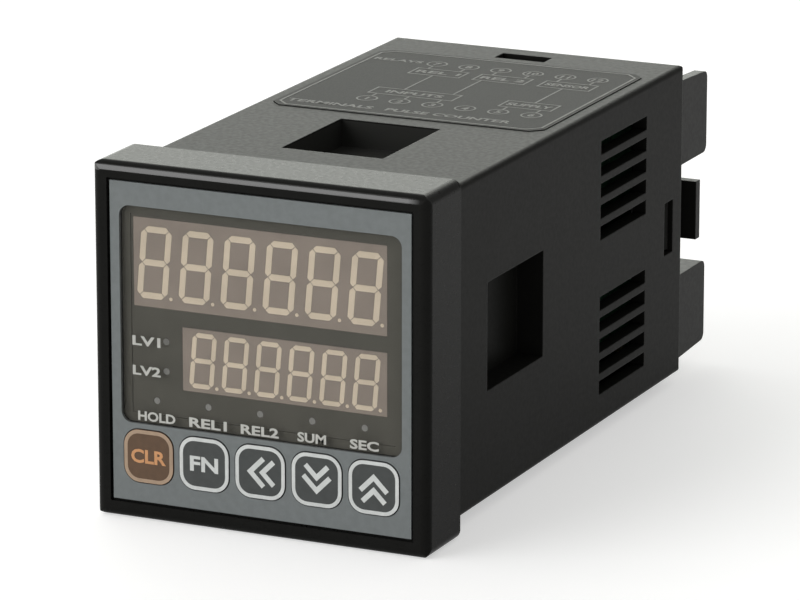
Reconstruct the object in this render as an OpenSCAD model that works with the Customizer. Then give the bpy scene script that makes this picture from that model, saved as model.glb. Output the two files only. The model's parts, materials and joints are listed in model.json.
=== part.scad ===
// Panel counter for a square cut-out: front frame with two digit rows and five keys,
// a case behind the panel and two screw terminal strips at the rear.
// X is to the right, Y goes into the panel, Z is up. The origin is the middle of the panel seat.

/* [Front frame] */
// Width and height of the front frame
bezel_w = 48; // [47:0.5:56]
// Depth of the front frame in front of the panel
bezel_d = 10; // [9.6:0.2:14]
// Corner radius of the front frame
bezel_corner_r = 1.3; // [1:0.1:2]
// Rounding of the front frame's front edges
bezel_edge_r = 1.2; // [0.3:0.1:1.6]
// Wall thickness of the front frame's sides
bezel_wall_t = 2; // [1.6:0.1:2.4]
// Thickness of the front frame's front wall
front_wall_t = 1.8; // [1.4:0.1:2.2]
// Width of the rim round the front sheet
rim_w = 2.15; // [1.8:0.05:2.5]
// Length of the skirt that plugs into the case, from the panel seat
skirt_l = 9; // [5:0.5:10]
// Wall thickness of the skirt
skirt_t = 1.6; // [1.2:0.1:2]
// Thickness of the shoulder that carries the display board
shoulder_t = 1.4; // [1:0.1:1.8]
// Depth of the seat that takes the front end of the case
case_seat_d = 0.8; // [0.5:0.1:1.2]

/* [Front sheet and window] */
// Depth of the recess that holds the front sheet
sheet_recess = 0.6; // [0.5:0.05:0.8]
// Thickness of the front sheet
sheet_t = 0.4; // [0.2:0.05:0.45]
// Gap between the front sheet and the rim
sheet_gap = 0.35; // [0.1:0.05:0.4]
// Thickness of the smoked window
lens_t = 0.8; // [0.7:0.1:1.5]
// Distance from the rim to the window's sides
lens_side_margin = 1.7; // [1:0.05:1.9]
// Distance from the rim to the window's top
lens_top_margin = 3.5; // [3:0.1:3.8]
// Distance from the key holes up to the window
lens_key_gap = 0.7; // [0.6:0.1:1.2]
// Corner radius of the window
lens_corner_r = 1.5; // [0.5:0.1:3]
// Width of the ledge that the window sits on
lens_ledge = 1.2; // [0.8:0.1:1.3]

/* [Keys] */
// Distance from the rim to the outer key holes
key_side_margin = 1.9; // [1.2:0.02:2.2]
// Distance from the rim up to the key holes
key_bottom_margin = 2.85; // [2.2:0.05:3.2]
// Width of the web between two key holes
key_web = 0.7; // [0.64:0.01:1.4]
// Height of a key cap
key_h = 7.2; // [6:0.1:7.4]
// Corner radius of a key cap
key_corner_r = 2.2; // [1:0.1:2.5]
// Gap round a key cap in its hole
key_gap = 0.12; // [0.1:0.01:0.25]
// How far a key cap stands out of the front sheet
key_rise = 0.1; // [0.05:0.05:0.8]
// Thickness of the flange that keeps a key cap in
key_flange_t = 0.5; // [0.3:0.05:0.6]
// Reach of the key flange past its hole, sideways
key_lip_x = 0.2; // [0.15:0.01:0.25]
// Reach of the key flange past its hole, up and down
key_lip_z = 0.4; // [0.2:0.05:0.5]
// Gap between the key flange and the front wall
key_stop_gap = 0.1; // [0.05:0.01:0.15]
// Diameter of the stem behind a key cap
key_stem_d = 3.4; // [2:0.1:4]
// Travel of a key
key_travel = 0.5; // [0.2:0.05:0.55]

/* [Key switches] */
// Width of a key switch
switch_w = 6; // [5:0.1:6.2]
// Diameter of a switch plunger
plunger_d = 3; // [2:0.1:3.4]
// Gap that is left between a pressed key and its switch
press_gap = 0.1; // [0.05:0.01:0.2]
// Reach of the plunger's foot past the plunger
plunger_lip = 0.5; // [0.3:0.05:0.7]
// Thickness of the plunger's foot
plunger_foot_t = 0.5; // [0.3:0.05:0.55]
// Running gap round a plunger
plunger_gap = 0.15; // [0.1:0.01:0.25]
// Thickness of the switch cover and of the switch floor
switch_skin = 0.35; // [0.2:0.05:0.4]

/* [Displays] */
// Digits in each row
digits = 6; // [4:1:6]
// Gap between two upper digits
upper_digit_gap = 1.6; // [1.4:0.02:2]
// Width of an upper segment
upper_seg_t = 0.85; // [0.5:0.05:0.95]
// Gap between two lower digits
lower_digit_gap = 1.16; // [1.1:0.02:1.6]
// Width of a lower segment
lower_seg_t = 0.65; // [0.4:0.05:0.75]
// Lean of the digits, in degrees
digit_lean = 5; // [0:1:8]
// Border above and below the upper digits
upper_border_z = 1.1; // [0.6:0.05:1.3]
// Border above and below the lower digits
lower_border_z = 0.5; // [0.4:0.05:0.6]
// Border beside the lower row of digits
lower_border_x = 0.6; // [0.3:0.05:0.8]
// Distance from the top of the window's opening to the upper display
display_top_gap = 0.4; // [0.3:0.05:0.6]
// Distance from the sides of the window's opening to the upper display
display_side_gap = 0.82; // [0.6:0.02:1.2]
// How far the displays and lamps stand to the left of the middle
display_shift = 0.44; // [0:0.02:0.5]
// Distance between the two displays
display_row_gap = 2.2; // [2:0.05:2.9]
// Part of the height of both displays that the upper one takes
upper_share = 0.584; // [0.54:0.002:0.6]
// Height of the free strip below the lower display
lamp_strip_h = 3.78; // [3.4:0.02:4.2]
// Width of the free strip beside the lower display
lamp_strip_w = 7; // [5:0.02:7.4]
// Gap between the window and the displays
display_gap = 0.1; // [0.05:0.05:0.4]
// Depth of a segment's light block
seg_depth = 0.4; // [0.2:0.05:0.8]
// Gap between neighbouring segments
seg_gap = 0.12; // [0.05:0.01:0.2]
// Gap between a digit and its point
point_gap = 0.25; // [0.2:0.05:0.3]
// Diameter of a digit's point
point_d = 0.5; // [0.3:0.05:0.6]
// Clearance round a segment and round a display
seg_clear = 0.03; // [0.01:0.01:0.05]
// Diameter of an indicator lamp
lamp_d = 0.9; // [0.8:0.1:1.5]
// Distance from the sides of the window's opening to the bottom row of lamps
lamp_end_gap = 4; // [2:0.1:6]
// Distance from the window's opening up to the bottom lamps
lamp_margin = 1.9; // [1.5:0.05:2]
// Distance from the lower display to the two side lamps
lamp_side_gap = 2.4; // [1.8:0.1:2.8]
// Distance between the two side lamps
lamp_side_pitch = 4; // [3:0.1:5]
// Width of a lamp's body
lamp_body_w = 2.2; // [1.6:0.1:2.4]
// Height of a lamp's body
lamp_body_h = 1.2; // [0.8:0.1:2]

/* [Display holder and boards] */
// Reach of the holder's flange past the window's opening
holder_lip = 0.9; // [0.6:0.05:1]
// Thickness of the holder's flange and walls
holder_t = 0.9; // [0.6:0.05:1]
// Thickness of the circuit boards
board_t = 1.6; // [1.2:0.1:2]
// Clearance of boards and plugged pieces
board_gap = 0.3; // [0.1:0.05:0.5]
// Gap between the side boards and the skirt, above and below
side_board_gap = 1.1; // [0.5:0.1:3]
// Gap between an edge connector and the side of the skirt
connector_gap = 1.6; // [1.2:0.1:2]
// Length of an edge connector
connector_l = 8; // [5:0.5:10]
// Width of an edge connector
connector_w = 5; // [4:0.1:6]
// Height of an edge connector
connector_h = 26; // [20:0.5:30]
// Depth of the slot in an edge connector
connector_slot_d = 4.8; // [2:0.1:4.9]
// Width of the display controller chip
chip_w = 12; // [7:0.5:14]
// Thickness of the display controller chip
chip_t = 1.2; // [0.8:0.1:1.6]

/* [Power and output parts] */
// Length of the transformer core
core_l = 24; // [20:0.5:26]
// Height of the transformer core
core_h = 20; // [16:0.5:24]
// Distance between the transformer and the relays
core_relay_gap = 4.4; // [3:0.1:6]
// Width of the transformer core's limbs
core_limb = 4; // [3:0.1:4.5]
// How far the coil stands out of the core on each side
coil_rise = 2; // [1:0.1:2.2]
// Clearance between the coil and the core
coil_gap = 0.1; // [0.05:0.01:0.2]
// Distance from the terminal board to the transformer and relays
rear_parts_gap = 5; // [3:0.5:8]
// Diameter of a capacitor
cap_d = 10; // [8:0.5:12]
// Length of a capacitor
cap_l = 16; // [10:0.5:18]
// Distance between the two capacitors
cap_pitch = 14; // [13:0.5:18]
// Distance from the transformer to the capacitors
cap_gap = 2; // [1:0.5:4]
// Length of an output relay
relay_l = 20; // [15:0.5:22]
// Height of an output relay
relay_h = 15; // [10:0.5:15.5]
// Thickness of an output relay
relay_t = 10; // [8:0.5:11]
// Gap between the two relays
relay_gap = 2; // [1:0.5:3]
// Length of an input coupler
coupler_l = 8.5; // [6:0.5:10]
// Height of an input coupler
coupler_h = 6.4; // [5:0.1:8]
// Thickness of an input coupler
coupler_t = 3.5; // [2.5:0.1:5]
// Distance between the input couplers
coupler_pitch = 10; // [9:0.5:13]
// Distance from the panel seat to the input couplers
coupler_y = 18; // [12:0.5:22]

/* [Case] */
// Width and height of the case
case_w = 44.8; // [44:0.1:45.2]
// Length of the case behind the panel
case_l = 80; // [76:0.5:100]
// Wall thickness of the case
case_t = 2; // [1.6:0.1:2.2]
// Corner radius of the case
case_corner_r = 0.8; // [0.3:0.1:1.4]
// Rounding of the case's rear edges
case_rear_r = 0.6; // [0.2:0.1:0.9]
// Width of a bracket pocket
pocket_w = 14.7; // [10:0.1:16]
// Length of a bracket pocket
pocket_l = 18.3; // [12:0.1:19]
// Depth of a bracket pocket
pocket_d = 3.8; // [2.5:0.1:4]
// Wall thickness round a bracket pocket
pocket_t = 1.2; // [0.8:0.1:1.4]
// Distance from the panel seat to the bracket pockets
pocket_y = 12; // [11.8:0.1:13]
// Vent slots in one group
vent_n = 5; // [3:1:6]
// Height of a vent slot
vent_h = 1.95; // [1:0.05:2.2]
// Distance between vent slots
vent_pitch = 3; // [2.5:0.1:3.2]
// Length of a vent slot
vent_l = 16.3; // [10:0.1:18]
// Distance from the rear end of the case to the vent slots
vent_rear = 13.7; // [12:0.1:16]
// Distance of a vent group from the middle
vent_group_z = 11; // [10.5:0.1:11.5]
// Width of a latch slot
latch_w = 7.6; // [5:0.1:9]
// Length of a latch slot
latch_l = 3.1; // [2.4:0.1:3.4]
// Distance from the rear end of the case to a latch slot
latch_rear = 3.6; // [3.4:0.1:4.4]
// Depth of the marking field on the top
field_d = 0.25; // [0.1:0.05:0.5]
// Distance from the sides of the case to the marking field
field_side = 2.2; // [1.5:0.1:4]
// Distance from the panel seat to the marking field
field_front = 34; // [32.5:0.5:40]
// Distance from the rear end of the case to the marking field
field_rear = 8.6; // [8:0.1:14]
// Corner cut of the marking field
field_cut = 1.6; // [0.5:0.1:4]

/* [Rear cover] */
// Thickness of the rear cover
cover_t = 3; // [2.6:0.1:3.3]
// Gap between the rear cover and the case
cover_gap = 0.2; // [0.1:0.05:0.3]
// Thickness of a latch arm
arm_t = 1.2; // [0.8:0.1:1.3]
// How far a latch nose stays below the case's outside
nose_sink = 0.6; // [0.3:0.1:1]
// Gap round a latch nose in its slot
nose_gap = 0.3; // [0.2:0.05:0.5]
// Height of a release tab
tab_h = 8.5; // [6:0.1:10]
// Thickness of a release tab
tab_t = 1.5; // [1:0.1:2]
// How far a release tab stands out behind the case
tab_d = 7; // [5:0.1:9]
// How far a release tab reaches from the side of the case
tab_reach = 5.2; // [3:0.1:6]
// Gap between the release tab's end and the side of the case
tab_inset = 0.1; // [0:0.1:1]

/* [Terminal strips] */
// Terminals in one strip
bays = 6; // [4:1:6]
// How far a terminal strip stands out behind the case
strip_d = 11.5; // [11:0.1:14]
// Height of a terminal strip
strip_h = 12.4; // [11:0.1:13]
// Drop of a strip's open side towards the rear
strip_drop = 0.6; // [0.2:0.1:1.2]
// Distance from the sides of the case to a strip's ends
strip_inset = 1; // [0.5:0.1:1.5]
// Distance from the top of the case to the upper strip
upper_strip_inset = 2.6; // [1:0.1:3]
// Distance from the bottom of the case to the lower strip
lower_strip_inset = 1.3; // [1:0.1:3]
// Thickness of a strip's floor
strip_floor_t = 2.5; // [2:0.1:3]
// Thickness of a strip's closed side
strip_wall_t = 1.6; // [1.2:0.1:2]
// Thickness of a strip's end walls
strip_end_t = 1.6; // [1:0.1:1.8]
// Thickness of the barriers between terminals
barrier_t = 1.1; // [0.8:0.1:1.2]
// Rounding of a strip's rear edges
strip_r = 1.1; // [0.4:0.1:1.5]
// Thickness of a terminal plate
plate_t = 0.8; // [0.5:0.05:1]
// Height of a terminal plate
plate_h = 7; // [6.6:0.1:7.4]
// Gap beside a terminal plate
plate_gap = 0.15; // [0.1:0.05:0.2]
// Width of a terminal plate's tail
tail_w = 2; // [1:0.1:2.5]
// How far a tail stands out of the terminal board
tail_out = 0.8; // [0.4:0.1:1.2]
// Clearance round a tail
tail_gap = 0.1; // [0.05:0.01:0.15]
// Width of a clamp washer
washer_w = 5; // [4.6:0.1:5.2]
// Thickness of a clamp washer
washer_t = 0.8; // [0.5:0.1:1]
// Diameter of a terminal screw's shank
screw_d = 3; // [2.6:0.1:3.2]
// Diameter of a terminal screw's head
screw_head_d = 5; // [4.4:0.1:5.2]
// Height of a terminal screw's head
screw_head_h = 2; // [1.4:0.1:2.2]
// How far a screw reaches below its washer
screw_l = 5; // [4:0.1:5.5]
// Clearance round a screw's shank
screw_gap = 0.1; // [0.05:0.01:0.2]
// Width of the driver slots in a screw's head
driver_w = 0.8; // [0.5:0.1:1]
// Length of the driver slots in a screw's head
driver_l = 3; // [2:0.1:4]
// Distance from the cover to the terminal board
terminal_board_gap = 5; // [4.6:0.1:5.2]
// Gap between the terminal board and the latch arms
terminal_board_side = 0.5; // [0.2:0.1:0.8]

/* [Hidden] */
$fn = 48;
// Reach of a cutting solid past the face that it cuts
cut = 1;
// Sunk depth where two solids of one piece are joined
sink = 0.4;

// Depths along Y, from the front to the rear
front_y = -bezel_d;
wall_front = front_y + sheet_recess;
wall_back = wall_front + front_wall_t;
sheet_front = wall_front - sheet_t;
lens_back = sheet_front + lens_t;
display_front = lens_back + display_gap;
seat_y = -case_seat_d;
board_back = seat_y - shoulder_t;
board_front = board_back - board_t;
switch_h = 2 * switch_skin + 2 * plunger_gap + plunger_foot_t + key_travel;
switch_front = board_front - switch_h;
plunger_front = switch_front - key_travel - press_gap;
flange_front = wall_back + key_stop_gap;
cover_front = case_l - cover_t;
terminal_board_back = cover_front - terminal_board_gap;
terminal_board_front = terminal_board_back - board_t;

// Front layout
recess_w = bezel_w - 2 * rim_w;
cavity_w = bezel_w - 2 * bezel_wall_t;
key_n = 5;
key_hole_w = (recess_w - 2 * key_side_margin - (key_n - 1) * key_web) / key_n;
key_hole_h = key_h + 2 * key_gap;
key_pitch = key_hole_w + key_web;
key_z = -recess_w / 2 + key_bottom_margin + key_hole_h / 2;
key_hole_r = key_corner_r + key_gap;
lens_w = recess_w - 2 * lens_side_margin;
lens_top = recess_w / 2 - lens_top_margin;
lens_bottom = key_z + key_hole_h / 2 + lens_key_gap;
lens_h = lens_top - lens_bottom;
lens_z = (lens_top + lens_bottom) / 2;
window_w = lens_w - 2 * lens_ledge;
window_h = lens_h - 2 * lens_ledge;
window_top = lens_top - lens_ledge;
window_bottom = lens_bottom + lens_ledge;

// Displays in the window: sizes, middles and digits
rows_h = window_h - display_top_gap - display_row_gap - lamp_strip_h;
upper_w = window_w - 2 * display_side_gap;
upper_h = upper_share * rows_h;
upper_at = [-display_shift, window_top - display_top_gap - upper_h / 2];
upper_pitch = upper_w / digits;
upper_digit_w = upper_pitch - upper_digit_gap;
upper_digit_h = upper_h - 2 * upper_border_z;
lower_w = upper_w - lamp_strip_w;
lower_h = rows_h - upper_h;
lower_at = [upper_at[0] + (upper_w - lower_w) / 2, upper_at[1] - upper_h / 2 - display_row_gap - lower_h / 2];
lower_pitch = (lower_w - 2 * lower_border_x) / digits;
lower_digit_w = lower_pitch - lower_digit_gap;
lower_digit_h = lower_h - 2 * lower_border_z;

// Indicator lamps: the bottom row, then the two at the side
lamp_row_n = 5;
lamp_pitch = (window_w - 2 * lamp_end_gap) / (lamp_row_n - 1);
lamp_places = concat(
    [for (k = [0 : lamp_row_n - 1])
        [upper_at[0] + (k - (lamp_row_n - 1) / 2) * lamp_pitch, window_bottom + lamp_margin]],
    [for (s = [-1, 1]) [lower_at[0] - lower_w / 2 - lamp_side_gap, lower_at[1] + s * lamp_side_pitch / 2]]
);

// Case and skirt
case_in = case_w - 2 * case_t;
skirt_out = case_in - 2 * cover_gap;
skirt_in = skirt_out - 2 * skirt_t;
plug_w = case_in - 2 * cover_gap;
latch_y = case_l - latch_rear - latch_l;

// Terminal strips
strip_w = case_w - 2 * strip_inset;
upper_strip_z = case_w / 2 - upper_strip_inset - strip_h;
lower_strip_z = case_w / 2 - lower_strip_inset - strip_h;
bay_w = (strip_w - 2 * strip_end_t - (bays - 1) * barrier_t) / bays;
bay_pitch = bay_w + barrier_t;
plate_y = case_l + strip_floor_t;
washer_y = plate_y + plate_t;
head_y = washer_y + washer_t;
plate_z = strip_wall_t + plate_gap;
screw_z = plate_z + washer_w / 2;
tail_z = plate_z + plate_h - plate_t;

// Side boards and what stands on them
side_board_x = skirt_in / 2 - connector_gap - connector_w / 2;
side_board_h = skirt_in - 2 * side_board_gap;
board_face_x = side_board_x - board_t / 2;
core_t = 2 * (board_face_x - coil_rise) - relay_t - core_relay_gap;
board_slot_end = board_back + connector_l - connector_slot_d;
rear_parts_back = terminal_board_front - rear_parts_gap;
terminal_board_w = plug_w - 2 * (arm_t + terminal_board_side);

// Extrudes a drawing of X and Z from y0 to y1
module along_y(y0, y1) {
    translate([0, y1, 0]) rotate([90, 0, 0]) linear_extrude(y1 - y0) children();
}

// Extrudes a drawing of Y and Z from x0 to x1
module along_x(x0, x1) {
    translate([x0, 0, 0]) rotate([90, 0, 90]) linear_extrude(x1 - x0) children();
}

// Rectangle with round corners, about the origin
module round_rect(w, h, r) {
    square([w - 2 * r, h], center = true);
    square([w, h - 2 * r], center = true);
    for (x = [-1, 1], y = [-1, 1]) translate([x * (w / 2 - r), y * (h / 2 - r)]) circle(r);
}

// Block given by its lowest corner and its highest corner
module block(low, high) {
    translate(low) cube(high - low);
}

// Side view of a square block: two front corners round, the rear square
module block_side(w, d, r) {
    translate([-w / 2, r - d]) square([w, d - r]);
    translate([r - w / 2, -d]) square([w - 2 * r, d]);
    for (x = [-1, 1]) translate([x * (w / 2 - r), r - d]) circle(r);
}

// Square block from the front at -d to the rear at 0, with round corners and round front edges
module round_block(w, d, corner_r, edge_r) {
    intersection() {
        along_y(-d, 0) round_rect(w, w, corner_r);
        translate([0, 0, -w]) linear_extrude(2 * w) block_side(w, d, edge_r);
        rotate([0, 90, 0]) translate([0, 0, -w]) linear_extrude(2 * w) block_side(w, d, edge_r);
    }
}

// Repeats a piece on the top, right, bottom and left of the case
module on_four_sides() {
    for (turn = [0 : 90 : 270]) rotate([0, turn, 0]) children();
}

// Repeats a piece at each key
module at_key(k) {
    translate([(k - (key_n - 1) / 2) * key_pitch, 0, key_z]) children();
}

// Repeats a piece at each bay of one strip
module at_strip_bays() {
    for (k = [0 : bays - 1]) translate([(k - (bays - 1) / 2) * bay_pitch, 0, 0]) children();
}

// Puts a piece at the upper strip, open to the top
module at_upper_strip() {
    translate([0, 0, upper_strip_z]) children();
}

// Puts a piece at the lower strip, open to the bottom
module at_lower_strip() {
    mirror([0, 0, 1]) translate([0, 0, lower_strip_z]) children();
}

// Repeats a piece at each bay of both strips
module at_bays() {
    at_upper_strip() at_strip_bays() children();
    at_lower_strip() at_strip_bays() children();
}

// Front frame with its recess, window opening, key holes, shoulder and skirt
module bezel() {
    color([0.13, 0.13, 0.13]) difference() {
        union() {
            round_block(bezel_w, bezel_d, bezel_corner_r, bezel_edge_r);
            along_y(seat_y - sink, skirt_l) square(skirt_out, center = true);
        }
        along_y(front_y - cut, wall_front) square(recess_w, center = true);
        along_y(front_y, lens_back) translate([0, lens_z])
            round_rect(lens_w + 2 * seg_clear, lens_h + 2 * seg_clear, lens_corner_r);
        along_y(front_y, 0) translate([0, lens_z]) square([window_w, window_h], center = true);
        for (k = [0 : key_n - 1]) at_key(k) along_y(front_y, 0)
            round_rect(key_hole_w, key_hole_h, key_hole_r);
        along_y(wall_back, board_back) square(cavity_w, center = true);
        along_y(wall_back, skirt_l + cut) square(skirt_in, center = true);
        along_y(seat_y, cut) difference() {
            square(case_w + 2 * seg_clear, center = true);
            square(skirt_out, center = true);
        }
    }
}

// Printed sheet in the front recess, open at the window and the keys
module front_sheet() {
    color([0.47, 0.51, 0.52]) along_y(sheet_front, wall_front) difference() {
        square(recess_w - 2 * sheet_gap, center = true);
        translate([0, lens_z]) round_rect(lens_w + 2 * seg_clear, lens_h + 2 * seg_clear, lens_corner_r);
        for (k = [0 : key_n - 1]) translate([(k - (key_n - 1) / 2) * key_pitch, key_z])
            round_rect(key_hole_w, key_hole_h, key_hole_r);
    }
}

// Smoked window in front of the displays
module display_window() {
    color([0.2, 0.19, 0.18, 0.5]) along_y(sheet_front, lens_back) translate([0, lens_z])
        round_rect(lens_w, lens_h, lens_corner_r);
}

// Dark holder that carries the displays behind the window
module display_holder() {
    pad_w = window_w - 2 * seg_clear;
    pad_h = window_h - 2 * seg_clear;
    flange_w = window_w + 2 * holder_lip;
    flange_h = window_h + 2 * holder_lip;
    flange_back = wall_back + holder_t;
    color([0.1, 0.1, 0.1]) difference() {
        union() {
            along_y(display_front, wall_back + sink) translate([0, lens_z])
                square([pad_w, pad_h], center = true);
            along_y(wall_back, board_front) translate([0, lens_z])
                square([flange_w, flange_h], center = true);
        }
        along_y(flange_back, board_front + cut) translate([0, lens_z])
            square([flange_w - 2 * holder_t, flange_h - 2 * holder_t], center = true);
        along_y(front_y, board_front) translate(upper_at) display_outline(upper_w, upper_h, seg_clear);
        along_y(front_y, board_front) translate(lower_at) display_outline(lower_w, lower_h, seg_clear);
        for (p = lamp_places) along_y(front_y, board_front) translate(p) circle(d = lamp_d + 2 * seg_clear);
    }
}

// Front view of a display, grown by a clearance
module display_outline(w, h, grow) {
    square([w + 2 * grow, h + 2 * grow], center = true);
}

// Circuit board behind the front wall
module display_board() {
    color([0.1, 0.35, 0.2]) along_y(board_front, board_back)
        square(cavity_w - 2 * board_gap, center = true);
}

// One bar of a digit with pointed ends, from a to b, leaning with the digit
module segment(a, b, t, grow) {
    along = (b - a) / norm(b - a);
    across = [-along[1], along[0]];
    half = t / 2 + grow;
    tip = (norm(b - a) - seg_gap) / 2 + grow;
    mid = (a + b) / 2;
    shoulder = tip - half;
    outline = [
        [-tip, 0], [-shoulder, half], [shoulder, half],
        [tip, 0], [shoulder, -half], [-shoulder, -half]
    ];
    polygon([for (c = outline) let (p = mid + c[0] * along + c[1] * across)
        [p[0] + p[1] * tan(digit_lean), p[1]]]);
}

// Seven bars and a point of one digit, about its middle
module digit(w, h, t, grow) {
    x = (w - t) / 2;
    z = (h - t) / 2;
    corners = [[-x, z], [x, z], [x, 0], [x, -z], [-x, -z], [-x, 0]];
    for (k = [0 : 5]) segment(corners[k], corners[(k + 1) % 6], t, grow);
    segment(corners[5], corners[2], t, grow);
    translate([(w + point_d) / 2 + point_gap - z * tan(digit_lean), (point_d - h) / 2])
        circle(d = point_d + 2 * grow);
}

// Row of digits about the middle of its display
module digit_row(pitch, w, h, t, grow) {
    for (k = [0 : digits - 1]) translate([(k - (digits - 1) / 2) * pitch, 0]) digit(w, h, t, grow);
}

// Display body with pockets for its light blocks
module display_body(at, w, h, pitch, digit_w, digit_h, t) {
    difference() {
        along_y(display_front, board_front) translate(at) display_outline(w, h, 0);
        along_y(display_front - cut, display_front + seg_depth) translate(at)
            digit_row(pitch, digit_w, digit_h, t, seg_clear);
    }
}

// Upper display body
module upper_display() {
    color([0.42, 0.39, 0.35])
        display_body(upper_at, upper_w, upper_h, upper_pitch, upper_digit_w, upper_digit_h, upper_seg_t);
}

// Light blocks of the upper display
module upper_segments() {
    color([0.75, 0.7, 0.62]) along_y(display_front, display_front + seg_depth) translate(upper_at)
        digit_row(upper_pitch, upper_digit_w, upper_digit_h, upper_seg_t, 0);
}

// Lower display body
module lower_display() {
    color([0.42, 0.39, 0.35])
        display_body(lower_at, lower_w, lower_h, lower_pitch, lower_digit_w, lower_digit_h, lower_seg_t);
}

// Light blocks of the lower display
module lower_segments() {
    color([0.7, 0.65, 0.58]) along_y(display_front, display_front + seg_depth) translate(lower_at)
        digit_row(lower_pitch, lower_digit_w, lower_digit_h, lower_seg_t, 0);
}

// Indicator lamps on the display board, each with a round lens
module indicator_lamps() {
    color([0.6, 0.6, 0.58]) for (p = lamp_places) {
        along_y(display_front, board_front) translate(p) circle(d = lamp_d);
        along_y(board_front - lamp_body_h, board_front) translate(p) square(lamp_body_w, center = true);
    }
}

// Key cap with its flange and stem
module key_cap(k) {
    cap_w = key_hole_w - 2 * key_gap;
    flange_back = flange_front + key_flange_t;
    at_key(k) {
        along_y(sheet_front - key_rise, flange_front + key_flange_t / 2)
            round_rect(cap_w, key_h, key_corner_r);
        along_y(flange_front, flange_back)
            round_rect(key_hole_w + 2 * key_lip_x, key_hole_h + 2 * key_lip_z, key_corner_r);
        along_y(flange_back - key_flange_t / 2, plunger_front) circle(d = key_stem_d);
    }
}

module reset_key() { color([0.36, 0.22, 0.13]) key_cap(0); }
module mode_key() { color([0.26, 0.27, 0.27]) key_cap(1); }
module left_key() { color([0.26, 0.27, 0.27]) key_cap(2); }
module down_key() { color([0.26, 0.27, 0.27]) key_cap(3); }
module up_key() { color([0.26, 0.27, 0.27]) key_cap(4); }

// Plunger of a key switch with the foot that keeps it in
module plunger(k) {
    foot_front = switch_front + switch_skin + plunger_gap;
    color([0.85, 0.83, 0.78]) at_key(k) {
        along_y(plunger_front, foot_front + plunger_foot_t) circle(d = plunger_d);
        along_y(foot_front, foot_front + plunger_foot_t) circle(d = plunger_d + 2 * plunger_lip);
    }
}

module reset_plunger() { plunger(0); }
module mode_plunger() { plunger(1); }
module left_plunger() { plunger(2); }
module down_plunger() { plunger(3); }
module up_plunger() { plunger(4); }

// Housings of the five key switches, hollow for the plungers
module key_switches() {
    color([0.2, 0.2, 0.2]) for (k = [0 : key_n - 1]) at_key(k) difference() {
        along_y(switch_front, board_front) square(switch_w, center = true);
        along_y(switch_front - cut, board_front - switch_skin) circle(d = plunger_d + 2 * plunger_gap);
        along_y(switch_front + switch_skin, board_front - switch_skin)
            circle(d = plunger_d + 2 * plunger_lip + 2 * plunger_gap);
    }
}

// Controller chip on the rear of the display board
module display_controller() {
    color([0.12, 0.12, 0.12]) along_y(board_back, board_back + chip_t) square(chip_w, center = true);
}

// Two connectors that take the front edges of the side boards
module edge_connectors() {
    color([0.8, 0.78, 0.7]) for (s = [-1, 1]) difference() {
        along_y(board_back, board_back + connector_l) translate([s * side_board_x, 0])
            square([connector_w, connector_h], center = true);
        along_y(board_slot_end, board_back + connector_l + cut) translate([s * side_board_x, 0])
            square([board_t + 2 * seg_clear, connector_h + cut], center = true);
    }
}

// Side board from its connector to the terminal board
module side_board(s) {
    color([0.1, 0.35, 0.2]) along_y(board_slot_end + seg_clear, terminal_board_front)
        translate([s * side_board_x, 0]) square([board_t, side_board_h], center = true);
}

module power_board() { side_board(-1); }
module output_board() { side_board(1); }

// Laminated core with a middle limb, standing beside the power board
module transformer_core() {
    x0 = -board_face_x + coil_rise;
    window_l = (core_l - 4 * core_limb) / 2;
    color([0.35, 0.35, 0.37]) along_x(x0, x0 + core_t) translate([rear_parts_back - core_l / 2, 0])
        difference() {
            square([core_l, core_h], center = true);
            for (s = [-1, 1]) translate([s * (core_limb + window_l / 2), 0])
                square([window_l, core_h - 2 * core_limb], center = true);
        }
}

// Coil round the middle limb, seated on the power board
module transformer_coil() {
    x0 = -board_face_x;
    window_l = (core_l - 4 * core_limb) / 2;
    coil_l = 2 * (core_limb + window_l - coil_gap);
    coil_h = core_h - 2 * (core_limb + coil_gap);
    color([0.75, 0.6, 0.25]) translate([0, rear_parts_back - core_l / 2, 0]) difference() {
        along_x(x0, x0 + core_t + 2 * coil_rise) square([coil_l, coil_h], center = true);
        along_x(x0 + coil_rise - coil_gap, x0 + core_t + coil_rise + coil_gap)
            square([2 * (core_limb + coil_gap), core_h], center = true);
    }
}

// Two smoothing capacitors on the power board
module capacitors() {
    color([0.15, 0.17, 0.3]) for (s = [-1, 1])
        translate([-board_face_x, rear_parts_back - core_l - cap_gap - cap_d / 2, s * cap_pitch / 2])
            rotate([0, 90, 0]) cylinder(d = cap_d, h = cap_l);
}

// Two output relays on the output board
module output_relays() {
    color([0.15, 0.25, 0.5]) for (s = [-1, 1])
        translate([board_face_x - relay_t / 2, rear_parts_back - relay_l / 2,
            s * (relay_h + relay_gap) / 2]) cube([relay_t, relay_l, relay_h], center = true);
}

// Three couplers of the inputs on the output board
module input_couplers() {
    color([0.12, 0.12, 0.12]) for (k = [-1 : 1])
        translate([board_face_x - coupler_t / 2, coupler_y + coupler_l / 2, k * coupler_pitch])
            cube([coupler_t, coupler_l, coupler_h], center = true);
}

// Marking field with cut corners, drawn in X and Y
module field() {
    w = case_w / 2 - field_side;
    y0 = field_front;
    y1 = case_l - field_rear;
    c = field_cut;
    polygon([[-w, y0 + c], [c - w, y0], [w - c, y0], [w, y0 + c],
        [w, y1 - c], [w - c, y1], [c - w, y1], [-w, y1 - c]]);
}

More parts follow.
